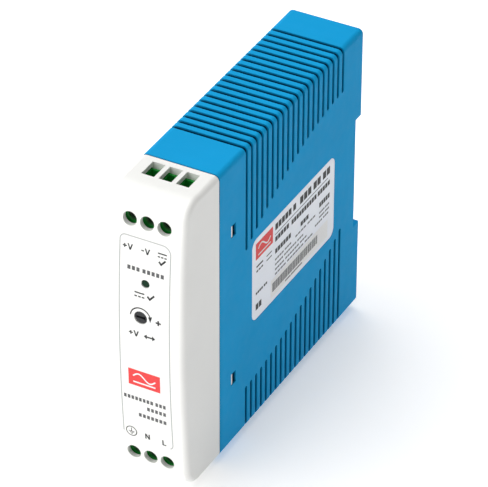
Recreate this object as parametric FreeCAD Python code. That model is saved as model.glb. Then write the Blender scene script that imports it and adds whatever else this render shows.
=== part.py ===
import FreeCAD, Part
import math
import os

# DIN rail power supply, 22.5 x 90 x 100 mm.
# X runs across the width, Y from the front panel (negative) to the rail (positive), Z is up.
# The origin is the middle of the flat seat that bears on the 35 mm top-hat rail.

Vector = FreeCAD.Vector

# ---- driving dimensions, mm ----
WIDTH = 22.5
HEIGHT = 90.0
DEPTH = 100.0
REAR_Y = 3.5                      # rear face, behind the rail seat
FRONT_Y = REAR_Y - DEPTH          # crown of the bowed front
SPLIT_Y = -77.0                   # where the case meets the front cover
SPLIT_GAP = 0.45

CASE_WALL = 1.6
CASE_END_WALL = 1.8
CASE_EDGE_R = 1.5
REAR_EDGE_R = 0.5
REAR_WALL = 2.0

SLOT_COUNT = 20
SLOT_PITCH = 2.857
SLOT_WIDTH = 1.25
SLOT_MID_Y = -35.5
SLOT_MID_Z = 26.7                 # height of the slot ends at mid length
SLOT_RISE = 9.05                  # how far the end line climbs from the middle to either end
SLOT_SAG = 3.83                   # how far the end line bends below a straight one

RAIL_HALF = 17.7                  # half of the 35 mm rail, with clearance
RAIL_GROOVE = 1.3                 # room for the rail's 1 mm brim
LIP_Z = 16.1                      # tip of the rail lips, above and below
LIP_HALF_WIDTH = 7.0

LATCH_HALF_WIDTH = 6.0
LATCH_FLANGE = 1.5
LATCH_FOOT_Z = -44.0
LATCH_SIDE_FIT = 0.1
LATCH_FACE_FIT = 0.08
SPRING_POST_TOP_Z = -36.6
SPRING_POST_HEIGHT = 1.4
SPRING_ROOM_TOP_Z = -26.4
SPRING_WIRE_R = 0.17
SPRING_MEAN_R = 1.05
SPRING_TURNS = 8

COVER_WALL = 1.4
COVER_EDGE_R = 1.6
COVER_CORNER_R = 6.0
BOW_R = 375.0                     # the front bows out along Z
SKIRT_X, SKIRT_Z = 9.5, 43.05     # half sizes of the collar that plugs into the case
SKIRT_Y = (-79.5, -72.5)
SKIRT_WALL = 1.0

SNAP_Z = 23.8
SNAP_Y = (-71.1, -68.4)
SNAP_HALF_HEIGHT = 1.9
CATCH_X = 11.1                    # how far out the catch reaches into its window
CATCH_Y = (-70.95, -70.2, -69.3)  # front face, crest's end, foot of the ramp
CATCH_ARM = (8.3, -73.5)          # inner face and front end of the arm under the catch

POLE_PITCH = 5.0
POLE_X = [-POLE_PITCH, 0.0, POLE_PITCH]
WIRE_WINDOW = (3.7, 6.1)
WIRE_WINDOW_Y = -82.35
SCREW_Z = 37.3
ACCESS_HOLE_R = 2.05
FRONT_HOLE_DEPTH = 5.0

TERMINAL_HALF_WIDTH = 7.6
TERMINAL_Y = (-92.6, -79.5)
TERMINAL_Z = (30.5, 43.1)
TERMINAL_CHAMFER = 3.0
BAR_Y = (-85.7, -85.0)
BAR_Z = (31.6, 40.8)
CONTACT_PIN_Z = 32.0

SCREW_HEAD_R = 1.8
SCREW_SHANK_R = 1.2
SCREW_HEAD_Y = (-91.0, -89.8)
SCREW_TIP_Y = -85.85
CLAMP_Y = (-87.0, -80.7)
CLAMP_Z = (35.2, 39.4)
CLAMP_HALF_WIDTH = 1.95
CLAMP_WALL = 0.45
DRIVE_WIDTH = 0.6
DRIVE_DEPTH = 0.7

LED_X, LED_Z = 0.0, 19.5
LED_R = 1.5
LED_HOLE_R = 1.22
LIGHT_GUIDE_R = 1.12
LIGHT_GUIDE_Y = (-95.9, -85.2)
TRIMMER_X, TRIMMER_Z = -1.35, 8.7
TRIMMER_HOLE_R = 1.92
TRIMMER_HALF = 3.3
TRIMMER_FRONT_Y = -84.4
ROTOR_R = 1.8
ROTOR_FIT = 0.07
ROTOR_Y = (-96.2, -81.5)

LABEL_Y = (-59.4, -12.2)
LABEL_Z = (-12.6, 13.4)
LABEL_CORNER_R = 2.5
LABEL_RECESS = 0.18
LABEL_THICKNESS = 0.12

BOARD_THICKNESS = 1.6
FRONT_BOARD_Y = -79.4
FRONT_BOARD_HALF = (8.3, 41.8)
MAIN_BOARD_X = -8.3
MAIN_BOARD_Y = (-77.5, -4.0)
MAIN_BOARD_HALF_HEIGHT = 41.5
FLOOR_X = MAIN_BOARD_X + BOARD_THICKNESS  # component side of the main board

HEADER_X, HEADER_Y = -5.4, -76.0  # where the right-angled pins run and turn
HEADER_PINS = 5
HEADER_PITCH = 2.5
HEADER_LOW_Z = -15.0
PIN_HALF = 0.3
ISOLATION_SLOT_Y = (-34.0, -10.0)
ISOLATION_SLOT_Z = (16.6, 17.8)
SHEET_X = (-9.45, -9.2)
SHEET_Y = (-68.5, -8.0)
SHEET_HALF_HEIGHT = 38.0
LEAD_FIT = 0.1

# ---- parts on the main board, mm: middles in Y and Z unless named otherwise ----
THERMISTOR = (-70.0, -29.0)
VARISTOR = (-70.0, -20.0)
X_CAPACITOR = (-52.0, -29.5)
X_CAPACITOR_SIZE = (12.0, 13.0, 6.0)
FUSE_Z = -37.5
FUSE_CAP_Y = (-69.0, -55.5)
FUSE_CAP_LENGTH = 3.0
FUSE_CAP_R = 2.4
FUSE_GLASS_R = 2.1
CHOKE_Y, CHOKE_Z = -58.3, -18.0
CHOKE_R, CHOKE_CORE_R = 5.0, 1.7
CHOKE_TURNS = 9
CHOKE_STEP = 16                   # degrees from turn to turn
BRIDGE_Y = (-44.0, -35.5)
BRIDGE_Z = (-37.0, -30.5)
BULK_R, BULK_Y = 6.8, -20.0
BULK_Z = (-37.0, -9.0)
BULK_LEAD_Z = -39.0
TRANSFORMER_X, TRANSFORMER_Y, TRANSFORMER_Z = 1.2, -43.0, 1.0
CORE_HALF_X, CORE_HALF_Y, CORE_HALF_Z = 2.7, 10.0, 8.2
CORE_ROOM = (2.7, 7.6)            # winding room on either side of the centre leg
CORE_YOKE_Z = 5.6
BOBBIN_HALF_Y, BOBBIN_HALF_Z = 7.3, 5.4
PRIMARY_SINK = (-13.9, 6.0)
SECONDARY_SINK = (-19.9, 30.0)
PRIMARY_SINK_HALF, SECONDARY_SINK_HALF = 9.0, 8.0
SINK_TOP_X = 9.4
SINK_THICKNESS = 1.5
SINK_SCREW_X, SINK_SCREW_R = 6.3, 1.4
PACKAGE_HALF_WIDTH = 5.0
TAB_THICKNESS = 1.3
PAD_GAP = 0.1
OUTPUT_CAPACITOR_Y = (-69.0, -60.0, -51.0)
OUTPUT_CAPACITOR_Z = 33.5
OUTPUT_CAPACITOR_SIZE = (4.0, 12.5)
INDUCTOR_Y, INDUCTOR_Z = -40.0, 30.0
BOBBIN_CORE_R = 2.2
BOBBIN_FLANGE_R = 4.6
INDUCTOR_HEIGHT = 11.0
INDUCTOR_FLANGE = 1.4
Y_CAPACITOR_Y = (-52.0, -40.0)
Y_CAPACITOR_Z = 18.5
OPTOCOUPLER = (-60.5, 14.0)
CONTROLLER = (-64.5, -2.5)
CHIP_PITCH = 2.54
SNUBBER_Y = -27.5
SNUBBER_Z = (-2.0, 2.5, 7.0)
REGULATOR = (-66.0, 14.0)
REGULATOR_R = 2.3

HALF_W = WIDTH / 2
HALF_H = HEIGHT / 2
CHOKE_X = FLOOR_X + 2.4

main_board_holes = []             # what the parts on the main board need drilled or slotted


# ---- helpers ----
def box(x, y, z):
    """A block between the low and high values given for each axis."""
    return Part.makeBox(x[1] - x[0], y[1] - y[0], z[1] - z[0], Vector(x[0], y[0], z[0]))


def rod(radius, start, end):
    """A cylinder between two points."""
    start = Vector(*start)
    run = Vector(*end) - start
    return Part.makeCylinder(radius, run.Length, start, run)


def prism_x(points, x):
    """A polygon in the YZ plane, extruded along X."""
    outline = [Vector(x[0], y, z) for y, z in points]
    face = Part.Face(Part.makePolygon(outline + outline[:1]))
    return face.extrude(Vector(x[1] - x[0], 0, 0))


def prism_z(points, z):
    """A polygon in the XY plane, extruded along Z."""
    outline = [Vector(x, y, z[0]) for x, y in points]
    face = Part.Face(Part.makePolygon(outline + outline[:1]))
    return face.extrude(Vector(0, 0, z[1] - z[0]))


def fuse(shapes):
    return shapes[0].fuse(shapes[1:]).removeSplitter()


def flip_z(shape):
    """The same piece at the other end of the supply, upside down."""
    return shape.mirror(Vector(0, 0, 0), Vector(0, 0, 1))


def span(middle, half):
    return (middle - half, middle + half)


def round_edges(shape, radius, chosen):
    return shape.makeFillet(radius, [e for e in shape.Edges if chosen(e.BoundBox)])


def save(node, shape):
    solids = shape.Solids
    if not shape.isValid() or not solids:
        raise ValueError(node + " is not a valid solid")
    whole = solids[0] if len(solids) == 1 else Part.makeCompound(solids)
    whole.exportStep("parts/" + node + ".step")
    print("%-24s %2d solid(s) %9.2f mm3" % (node, len(solids), whole.Volume))


# ---- case ----
def slot_end(y):
    """Height at which an upper slot that lies at y stops on the case's side."""
    t = (y - SLOT_MID_Y) / (SLOT_PITCH * (SLOT_COUNT - 1) / 2)
    return SLOT_MID_Z + SLOT_RISE * t - SLOT_SAG * t * t


def slot_tools():
    tools = []
    across = HALF_W + 1
    for index in range(SLOT_COUNT):
        y = SLOT_MID_Y + (index - (SLOT_COUNT - 1) / 2) * SLOT_PITCH
        upper = slot_end(y)
        lower = -slot_end(2 * SLOT_MID_Y - y)
        width = span(y, SLOT_WIDTH / 2)
        tools.append(box((-across, across), width, (upper, HALF_H + 1)))
        tools.append(rod(SLOT_WIDTH / 2, (-across, y, upper), (across, y, upper)))
        tools.append(box((-across, across), width, (-HALF_H - 1, lower)))
        tools.append(rod(SLOT_WIDTH / 2, (-across, y, lower), (across, y, lower)))
    return tools


def rounded_plate(x, grow):
    """The rating label's outline as a plate, grown by the given margin."""
    y = (LABEL_Y[0] - grow, LABEL_Y[1] + grow)
    z = (LABEL_Z[0] - grow, LABEL_Z[1] + grow)
    plate = box(x, y, z)
    thickness = x[1] - x[0]
    corner = LABEL_CORNER_R + grow
    return round_edges(plate, corner, lambda b: b.XLength > thickness * 0.9 and b.YLength < 0.01
                       and b.ZLength < 0.01)


def board_guides():
    """Short ribs that hold the main board's long edges, clear of the slots."""
    ribs = []
    for y in ((-70.0, -65.0), (-6.5, -REAR_WALL)):
        for x in ((-9.8, -8.45), (-6.55, -5.4)):
            rib = box(x, y, (40.0, HALF_H - CASE_END_WALL + 0.1))
            ribs += [rib, flip_z(rib)]
    return ribs


def rail_lip():
    """The fixed lip that hangs behind the rail's upper brim."""
    points = [(RAIL_GROOVE, LIP_Z + 0.3), (RAIL_GROOVE + 0.3, LIP_Z), (2.4, LIP_Z), (REAR_Y, LIP_Z + 1.1),
              (REAR_Y, RAIL_HALF + 0.1), (RAIL_GROOVE, RAIL_HALF + 0.1)]
    return prism_x(points, (-LIP_HALF_WIDTH, LIP_HALF_WIDTH))


def case_shell():
    case = box((-HALF_W, HALF_W), (SPLIT_Y, REAR_Y), (-HALF_H, HALF_H))
    case = round_edges(case, CASE_EDGE_R, lambda b: b.YLength > 50)
    case = round_edges(case, REAR_EDGE_R, lambda b: b.YMin > REAR_Y - 0.01)

    inner_x = (-HALF_W + CASE_WALL, HALF_W - CASE_WALL)
    inner_top = HALF_H - CASE_END_WALL
    cavity = box(inner_x, (SPLIT_Y - 1, -REAR_WALL), (-inner_top, inner_top))
    rear_pocket = box(inner_x, (-REAR_WALL - 1, REAR_Y - REAR_WALL), (RAIL_HALF + REAR_WALL, inner_top))
    case = case.cut([cavity, rear_pocket])
    case = fuse([case] + board_guides())

    notch = box((-HALF_W - 1, HALF_W + 1), (0, REAR_Y + 1), (-RAIL_HALF, RAIL_HALF))
    notch = notch.cut(rail_lip())
    channel_half = LATCH_HALF_WIDTH + LATCH_SIDE_FIT
    channel_z = (-HALF_H - 1, -RAIL_HALF + 0.1)
    channel = box((-channel_half, channel_half), (0, REAR_Y + 1), channel_z)
    flange_half = channel_half + LATCH_FLANGE
    undercut = box((-flange_half, flange_half), (0, 1.25), channel_z)
    snap_windows = [box((-HALF_W - 1, HALF_W + 1), SNAP_Y, span(side * SNAP_Z, SNAP_HALF_HEIGHT))
                    for side in (-1, 1)]
    label_recess = rounded_plate((HALF_W - LABEL_RECESS, HALF_W + 1), 0.15)
    case = case.cut([notch, channel, undercut, label_recess] + snap_windows + slot_tools())

    post = box((-1.5, 1.5), (-0.5, 2.9), (SPRING_POST_TOP_Z - SPRING_POST_HEIGHT, SPRING_POST_TOP_Z))
    return fuse([case, post])


def rating_label():
    top = HALF_W - LABEL_RECESS + LABEL_THICKNESS
    return rounded_plate((HALF_W - LABEL_RECESS, top), 0.0)


# ---- rail latch ----
def din_latch():
    body_top = -RAIL_HALF - 0.05
    face_y = 3.3
    body = box(span(0, LATCH_HALF_WIDTH), (LATCH_FACE_FIT, face_y), (LATCH_FOOT_Z, body_top))
    flange_half = LATCH_HALF_WIDTH + LATCH_FLANGE
    flange = box(span(0, flange_half), (LATCH_FACE_FIT, 1.15), (LATCH_FOOT_Z, -19.0))
    lip_points = [(RAIL_GROOVE, body_top - 0.5), (RAIL_GROOVE, -LIP_Z - 0.3), (RAIL_GROOVE + 0.3, -LIP_Z),
                  (2.2, -LIP_Z), (face_y, -LIP_Z - 1.1), (face_y, body_top - 0.5)]
    lip = prism_x(lip_points, span(0, LATCH_HALF_WIDTH))
    latch = fuse([body, flange, lip])

    post_foot = SPRING_POST_TOP_Z - SPRING_POST_HEIGHT
    spring_window = box(span(0, 1.75), (-1, 5), (post_foot - 0.2, SPRING_ROOM_TOP_Z))
    tool_slot = box(span(0, 2.6), (-1, 5), (-42.6, -40.9))
    grip_grooves = [box(span(0, 4.5), (2.8, 5), span(-21.0 - 1.4 * i, 0.35)) for i in range(3)]
    return latch.cut([spring_window, tool_slot] + grip_grooves)


def latch_spring():
    low = SPRING_POST_TOP_Z + SPRING_WIRE_R + 0.03
    high = SPRING_ROOM_TOP_Z - SPRING_WIRE_R - 0.03
    helix = Part.makeHelix((high - low) / SPRING_TURNS, high - low, SPRING_MEAN_R)
    helix.translate(Vector(0, 1.6, low))
    start = helix.Vertexes[0].Point
    circle = Part.Wire(Part.makeCircle(SPRING_WIRE_R, start, Vector(0, 1, 0)))
    return Part.Wire(helix.Edges).makePipeShell([circle], True, True)


# ---- front cover ----
def cover_block(inset, half_width, rear_y):
    """The cover's side outline, taken in by an inset and extruded to a half width."""
    bow_r = BOW_R - inset
    corner_r = COVER_CORNER_R - inset
    bow_y = FRONT_Y + BOW_R
    corner_z = HALF_H - COVER_CORNER_R
    corner_y = bow_y - math.sqrt((BOW_R - COVER_CORNER_R) ** 2 - corner_z ** 2)
    tilt = math.atan2(corner_z, bow_y - corner_y)

    def on_corner(angle):
        return Vector(0, corner_y - corner_r * math.cos(angle), corner_z + corner_r * math.sin(angle))

    top_rear = Vector(0, rear_y, HALF_H - inset)
    top_bend = on_corner(math.pi / 2)
    mid_bend = on_corner((math.pi / 2 + tilt) / 2)
    low_bend = on_corner(tilt)
    crown = Vector(0, bow_y - bow_r, 0)

    def below(point):
        return Vector(point.x, point.y, -point.z)

    edges = [
        Part.LineSegment(top_rear, top_bend),
        Part.Arc(top_bend, mid_bend, low_bend),
        Part.Arc(low_bend, crown, below(low_bend)),
        Part.Arc(below(low_bend), below(mid_bend), below(top_bend)),
        Part.LineSegment(below(top_bend), below(top_rear)),
        Part.LineSegment(below(top_rear), top_rear),
    ]
    face = Part.Face(Part.Wire([e.toShape() for e in edges]))
    face.translate(Vector(-half_width, 0, 0))
    return face.extrude(Vector(2 * half_width, 0, 0))


def cover_skirt():
    """The collar that plugs into the case mouth, with its root inside the cover."""
    front, rear = SKIRT_Y
    collar = box(span(0, SKIRT_X), SKIRT_Y, span(0, SKIRT_Z))
    root = box(span(0, SKIRT_X + 0.5), (front, SPLIT_Y - SPLIT_GAP), span(0, SKIRT_Z + 0.75))
    bore = box(span(0, SKIRT_X - SKIRT_WALL), (front - 1, rear + 1), span(0, SKIRT_Z - SKIRT_WALL))
    header_relief = box((-SKIRT_X - 1, 0), (SPLIT_Y, rear + 1), (HEADER_LOW_Z - 2, -3.0))
    return fuse([collar, root]).cut([bore, header_relief])


def snap_arms():
    arms = []
    inner_x, arm_y = CATCH_ARM
    face_y, crest_y, foot_y = CATCH_Y
    catch = [(inner_x, arm_y), (SKIRT_X, arm_y), (SKIRT_X, face_y), (CATCH_X, face_y),
             (CATCH_X, crest_y), (SKIRT_X, foot_y), (inner_x, foot_y)]
    for side in (-1, 1):
        points = [(side * x, y) for x, y in catch]
        for z in (-SNAP_Z, SNAP_Z):
            arms.append(prism_z(points, span(z, SNAP_HALF_HEIGHT - 0.2)))
    return arms


def front_cover():
    rear = SPLIT_Y - SPLIT_GAP
    cover = cover_block(0.0, HALF_W, rear)
    cover = round_edges(cover, COVER_EDGE_R, lambda b: b.XLength < 0.01 and b.YMin < rear - 0.01)
    cover = cover.cut(cover_block(COVER_WALL, HALF_W - COVER_WALL, rear + 1))
    cover = fuse([cover, cover_skirt()] + snap_arms())

    holes = [(LED_HOLE_R, LED_X, LED_Z), (TRIMMER_HOLE_R, TRIMMER_X, TRIMMER_Z)]
    holes += [(ACCESS_HOLE_R, x, side * SCREW_Z) for x in POLE_X for side in (-1, 1)]
    openings = [rod(radius, (x, FRONT_Y - 1, z), (x, FRONT_Y + FRONT_HOLE_DEPTH, z))
                for radius, x, z in holes]
    for x in POLE_X:
        window_x = span(x, WIRE_WINDOW[0] / 2)
        window_y = span(WIRE_WINDOW_Y, WIRE_WINDOW[1] / 2)
        openings.append(box(window_x, window_y, (-HALF_H - 1, HALF_H + 1)))
    return cover.cut(openings)


# ---- terminals, modelled for the upper (output) block ----
def terminal_block():
    front, rear = TERMINAL_Y
    low, high = TERMINAL_Z
    outline = [(front, low), (rear, low), (rear, high), (front + TERMINAL_CHAMFER, high),
               (front, high - TERMINAL_CHAMFER)]
    block = prism_x(outline, span(0, TERMINAL_HALF_WIDTH))
    rooms = []
    for x in POLE_X:
        rooms.append(rod(SCREW_HEAD_R + 0.1, (x, -93, SCREW_Z), (x, -89.75, SCREW_Z)))
        rooms.append(rod(SCREW_SHANK_R + 0.15, (x, -90, SCREW_Z), (x, -89, SCREW_Z)))
        rooms.append(box(span(x, 2.1), (-89.1, -80.5), (33.2, 41.0)))
        rooms.append(box(span(x, 1.8), (-85.6, -80.2), (40.9, 44.0)))
        rooms.append(box(span(x, 1.5), (-85.8, -79.0), (31.5, 33.3)))
    return block.cut(rooms)


def contacts():
    """One bus bar for each pole, with a foot and a solder pin that passes the front board."""
    bars = []
    for x in POLE_X:
        bar = box(span(x, 1.4), BAR_Y, BAR_Z)
        foot = box(span(x, 1.4), (BAR_Y[0], -80.0), (BAR_Z[0], BAR_Z[0] + 0.8))
        pin = box(span(x, 0.5), (-80.1, -76.9), span(CONTACT_PIN_Z, PIN_HALF))
        bars.append(fuse([bar, foot, pin]))
    return Part.makeCompound(bars)


def clamp_screw(x):
    head = rod(SCREW_HEAD_R, (x, SCREW_HEAD_Y[0], SCREW_Z), (x, SCREW_HEAD_Y[1], SCREW_Z))
    head = round_edges(head, 0.25, lambda b: b.YMax < SCREW_HEAD_Y[0] + 0.01)
    shank = rod(SCREW_SHANK_R, (x, SCREW_HEAD_Y[1], SCREW_Z), (x, SCREW_TIP_Y, SCREW_Z))
    drive_y = (SCREW_HEAD_Y[0] - 1, SCREW_HEAD_Y[0] + DRIVE_DEPTH)
    slot = box(span(x, SCREW_HEAD_R + 0.2), drive_y, span(SCREW_Z, DRIVE_WIDTH / 2))
    cross = box(span(x, DRIVE_WIDTH / 2), drive_y, span(SCREW_Z, 1.1))
    return fuse([head, shank]).cut([slot, cross])


def clamp_cage(x):
    cage = box(span(x, CLAMP_HALF_WIDTH), CLAMP_Y, CLAMP_Z)
    room = box(span(x, CLAMP_HALF_WIDTH - CLAMP_WALL), (CLAMP_Y[0] + 1.0, CLAMP_Y[1] - 0.9), (30, 45))
    thread = rod(SCREW_SHANK_R + 0.05, (x, CLAMP_Y[0] - 1, SCREW_Z), (x, CLAMP_Y[0] + 1.5, SCREW_Z))
    return cage.cut([room, thread])


# ---- boards ----
def front_board():
    board = box(span(0, FRONT_BOARD_HALF[0]), (FRONT_BOARD_Y, FRONT_BOARD_Y + BOARD_THICKNESS),
                span(0, FRONT_BOARD_HALF[1]))
    holes = []
    for x in POLE_X:
        for z in (-CONTACT_PIN_Z, CONTACT_PIN_Z):
            holes.append(rod(0.65, (x, FRONT_BOARD_Y - 1, z), (x, HEADER_Y, z)))
    for z in header_heights():
        holes.append(rod(0.5, (HEADER_X, FRONT_BOARD_Y - 1, z), (HEADER_X, HEADER_Y, z)))
    return board.cut(holes)


def main_board():
    """Made after every part that stands on it."""
    board = box((MAIN_BOARD_X, FLOOR_X), MAIN_BOARD_Y, span(0, MAIN_BOARD_HALF_HEIGHT))
    isolation_slot = box((MAIN_BOARD_X - 1, FLOOR_X + 1), ISOLATION_SLOT_Y, ISOLATION_SLOT_Z)
    holes = [rod(0.5, (MAIN_BOARD_X - 1, HEADER_Y, z), (FLOOR_X + 1, HEADER_Y, z)) for z in header_heights()]
    return board.cut([isolation_slot] + holes + main_board_holes)


def header_heights():
    return [HEADER_LOW_Z + HEADER_PITCH * i for i in range(HEADER_PINS)]


def board_header():
    body = box((FLOOR_X, -4.1), (-77.3, -74.9), (HEADER_LOW_Z - 1.6, -3.4))
    room = PIN_HALF + 0.05
    channels = []
    for z in header_heights():
        channels.append(box(span(HEADER_X, room), (-78, HEADER_Y + room), span(z, room)))
        channels.append(box((FLOOR_X - 0.3, HEADER_X + room), span(HEADER_Y, room), span(z, room)))
    return body.cut(channels)


def header_pins():
    pins = []
    for z in header_heights():
        ahead = box(span(HEADER_X, PIN_HALF), (-80.2, HEADER_Y + PIN_HALF), span(z, PIN_HALF))
        down = box((-8.8, HEADER_X + PIN_HALF), span(HEADER_Y, PIN_HALF), span(z, PIN_HALF))
        pins.append(fuse([ahead, down]))
    return Part.makeCompound(pins)


def insulation_sheet():
    return box(SHEET_X, SHEET_Y, span(0, SHEET_HALF_HEIGHT))


# ---- parts behind the front panel ----
def status_led():
    y = FRONT_BOARD_Y
    flange = rod(LED_R + 0.25, (LED_X, y - 0.9, LED_Z), (LED_X, y, LED_Z))
    barrel = rod(LED_R, (LED_X, y - 3.8, LED_Z), (LED_X, y - 0.8, LED_Z))
    dome = Part.makeSphere(LED_R, Vector(LED_X, y - 3.8, LED_Z))
    legs = [rod(0.25, (LED_X + side * 1.27, y - 0.1, LED_Z), (LED_X + side * 1.27, y - 0.5, LED_Z))
            for side in (-1, 1)]
    return fuse([flange, barrel, dome] + legs)


def light_guide():
    tip_y, root_y = LIGHT_GUIDE_Y
    guide = rod(LIGHT_GUIDE_R, (LED_X, tip_y, LED_Z), (LED_X, root_y, LED_Z))
    collar = rod(2.1, (LED_X, -94.3, LED_Z), (LED_X, -93.5, LED_Z))
    guide = round_edges(guide, 0.3, lambda b: b.YMax < tip_y + 0.01)
    return fuse([guide, collar])


def trimmer_body():
    body = box(span(TRIMMER_X, TRIMMER_HALF), (TRIMMER_FRONT_Y, FRONT_BOARD_Y), span(TRIMMER_Z, TRIMMER_HALF))
    body = round_edges(body, 0.4, lambda b: b.YLength > 4)
    room = rod(ROTOR_R + ROTOR_FIT, (TRIMMER_X, TRIMMER_FRONT_Y - 1, TRIMMER_Z),
               (TRIMMER_X, ROTOR_Y[1] + 0.1, TRIMMER_Z))
    return body.cut(room)


def trimmer_rotor():
    tip_y, root_y = ROTOR_Y
    rotor = rod(ROTOR_R, (TRIMMER_X, tip_y, TRIMMER_Z), (TRIMMER_X, root_y, TRIMMER_Z))
    rotor = round_edges(rotor, 0.2, lambda b: b.YMax < tip_y + 0.01)
    slot = box(span(TRIMMER_X, 1.35), (tip_y - 1, tip_y + 0.9), span(TRIMMER_Z, 0.3))
    pointer = box((TRIMMER_X + 1.0, TRIMMER_X + 1.35), (tip_y - 1, tip_y + 0.9), span(TRIMMER_Z, 0.55))
    return rotor.cut([slot, pointer])


# ---- parts on the main board ----
def legs(points, top_x, radius=0.35):
    """Round leads that run from a part down through the main board."""
    low = MAIN_BOARD_X - 0.6
    for y, z in points:
        main_board_holes.append(rod(radius + LEAD_FIT, (low, y, z), (FLOOR_X + 1, y, z)))
    return [rod(radius, (low, y, z), (top_x, y, z)) for y, z in points]


def flat_leg(top_x, y, z):
    """A flat lead or tab of the given Y and Z ranges, down through the main board."""
    low = MAIN_BOARD_X - 0.5
    slot_y = (y[0] - LEAD_FIT, y[1] + LEAD_FIT)
    slot_z = (z[0] - LEAD_FIT, z[1] + LEAD_FIT)
    main_board_holes.append(box((low, FLOOR_X + 1), slot_y, slot_z))
    return box((low, top_x), y, z)


def standing_can(y, z, radius, height):
    """An upright electrolytic capacitor with a rolled groove and a scored vent."""
    foot = FLOOR_X + 0.2
    top = foot + height
    can = rod(radius, (foot, y, z), (top, y, z))
    can = round_edges(can, 0.5, lambda b: b.XMin > top - 0.01)
    groove = Part.makeTorus(radius + 0.25, 0.6, Vector(foot + 1.8, y, z), Vector(1, 0, 0))
    vent = [box((top - 0.2, top + 1), span(y, radius * 0.6), span(z, 0.15)),
            box((top - 0.2, top + 1), span(y, 0.15), span(z, radius * 0.6))]
    return fuse([can.cut([groove] + vent)] + legs([(y - 1.75, z), (y + 1.75, z)], foot + 0.5, 0.25))


def standing_disc(y, z, radius, thickness):
    """A coated disc that stands on two leads, its flat side facing along Z."""
    x = FLOOR_X + 1.0 + radius
    disc = rod(radius, (x, y, z - thickness / 2), (x, y, z + thickness / 2))
    disc = disc.makeFillet(thickness * 0.35, [e for e in disc.Edges if e.BoundBox.ZLength < 0.01])
    leads = legs([(y - radius * 0.5, z), (y + radius * 0.5, z)], x - radius * 0.5)
    return fuse([disc] + leads)


def bulk_capacitor():
    x = FLOOR_X + BULK_R + 0.3
    low, high = BULK_Z
    can = rod(BULK_R, (x, BULK_Y, low), (x, BULK_Y, high))
    can = round_edges(can, 0.6, lambda b: b.ZMin > high - 0.01)
    groove = Part.makeTorus(BULK_R + 0.3, 0.8, Vector(x, BULK_Y, low + 2.4), Vector(0, 0, 1))
    return can.cut(groove)


def bulk_capacitor_leads():
    leads = []
    x = FLOOR_X + BULK_R + 0.3
    for y in span(BULK_Y, 2.5):
        ahead = rod(0.4, (x, y, BULK_Z[0]), (x, y, BULK_LEAD_Z))
        elbow = Part.makeSphere(0.5, Vector(x, y, BULK_LEAD_Z))
        leads.append(fuse([ahead, elbow] + legs([(y, BULK_LEAD_Z)], x, 0.4)))
    return Part.makeCompound(leads)


def fuse_link():
    x = FLOOR_X + FUSE_CAP_R + 0.2
    glass = rod(FUSE_GLASS_R, (x, FUSE_CAP_Y[0] + 1, FUSE_Z), (x, FUSE_CAP_Y[1] + 1, FUSE_Z))
    caps = [rod(FUSE_CAP_R, (x, y, FUSE_Z), (x, y + FUSE_CAP_LENGTH, FUSE_Z)) for y in FUSE_CAP_Y]
    return fuse([glass] + caps)


def film_capacitor(y, z, size):
    body = box((FLOOR_X + 0.3, FLOOR_X + 0.3 + size[0]), span(y, size[1] / 2), span(z, size[2] / 2))
    body = round_edges(body, 0.5, lambda b: b.XLength > 5)
    return fuse([body] + legs([(y - 4.5, z), (y + 4.5, z)], FLOOR_X + 1))


def choke_core():
    return Part.makeTorus(CHOKE_R, CHOKE_CORE_R, Vector(CHOKE_X, CHOKE_Y, CHOKE_Z), Vector(1, 0, 0))


def choke_windings():
    turns = []
    wire_r = 0.3
    for start in (25, 205):
        for index in range(CHOKE_TURNS):
            angle = math.radians(start + index * CHOKE_STEP)
            outward = Vector(0, math.cos(angle), math.sin(angle))
            middle = Vector(CHOKE_X, CHOKE_Y, CHOKE_Z) + outward * CHOKE_R
            around = outward.cross(Vector(1, 0, 0))
            turns.append(Part.makeTorus(CHOKE_CORE_R + wire_r + 0.05, wire_r, middle, around))
    return Part.makeCompound(turns)


def bridge_rectifier():
    body = box((FLOOR_X + 0.4, FLOOR_X + 4.0), BRIDGE_Y, BRIDGE_Z)
    body = round_edges(body, 0.4, lambda b: b.XLength > 3)
    feet_y = (BRIDGE_Y[0] + 1.5, BRIDGE_Y[1] - 1.5)
    feet_z = (BRIDGE_Z[0] + 0.8, BRIDGE_Z[1] - 0.8)
    feet = legs([(y, z) for y in feet_y for z in feet_z], FLOOR_X + 1)
    return fuse([body] + feet)


def transformer_core():
    """Two E halves, one above the other along Z."""
    x = span(TRANSFORMER_X, CORE_HALF_X)
    near, far = CORE_ROOM
    halves = []
    for side in (-1, 1):
        outer = box(x, span(TRANSFORMER_Y, CORE_HALF_Y), (0, CORE_HALF_Z))
        rooms = [box((x[0] - 1, x[1] + 1), (TRANSFORMER_Y + low, TRANSFORMER_Y + high), (-1, CORE_YOKE_Z))
                 for low, high in ((-far, -near), (near, far))]
        half = outer.cut(rooms)
        half.translate(Vector(0, 0, 0.02))
        if side < 0:
            half = flip_z(half)
        half.translate(Vector(0, 0, TRANSFORMER_Z))
        halves.append(half)
    return Part.makeCompound(halves)


def transformer_bobbin():
    x, y, z = TRANSFORMER_X, TRANSFORMER_Y, TRANSFORMER_Z
    tube = box(span(x, 3.6), span(y, 3.6), span(z, BOBBIN_HALF_Z))
    flanges = [box(span(x, 6.4), span(y, BOBBIN_HALF_Y), (z + low, z + low + 0.9))
               for low in (-BOBBIN_HALF_Z, BOBBIN_HALF_Z - 0.9)]
    rail = box((FLOOR_X + 0.3, -5.1), span(y, BOBBIN_HALF_Y), span(z, BOBBIN_HALF_Z))
    hollow = box(span(x, CORE_HALF_X + 0.1), span(y, CORE_ROOM[0] + 0.1), span(z, 9))
    pins = legs([(y + step, z + side * 4.0) for step in (-6.0, -2.0, 2.0, 6.0) for side in (-1, 1)], -6.0)
    return fuse([tube, rail] + flanges + pins).cut(hollow)


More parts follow.
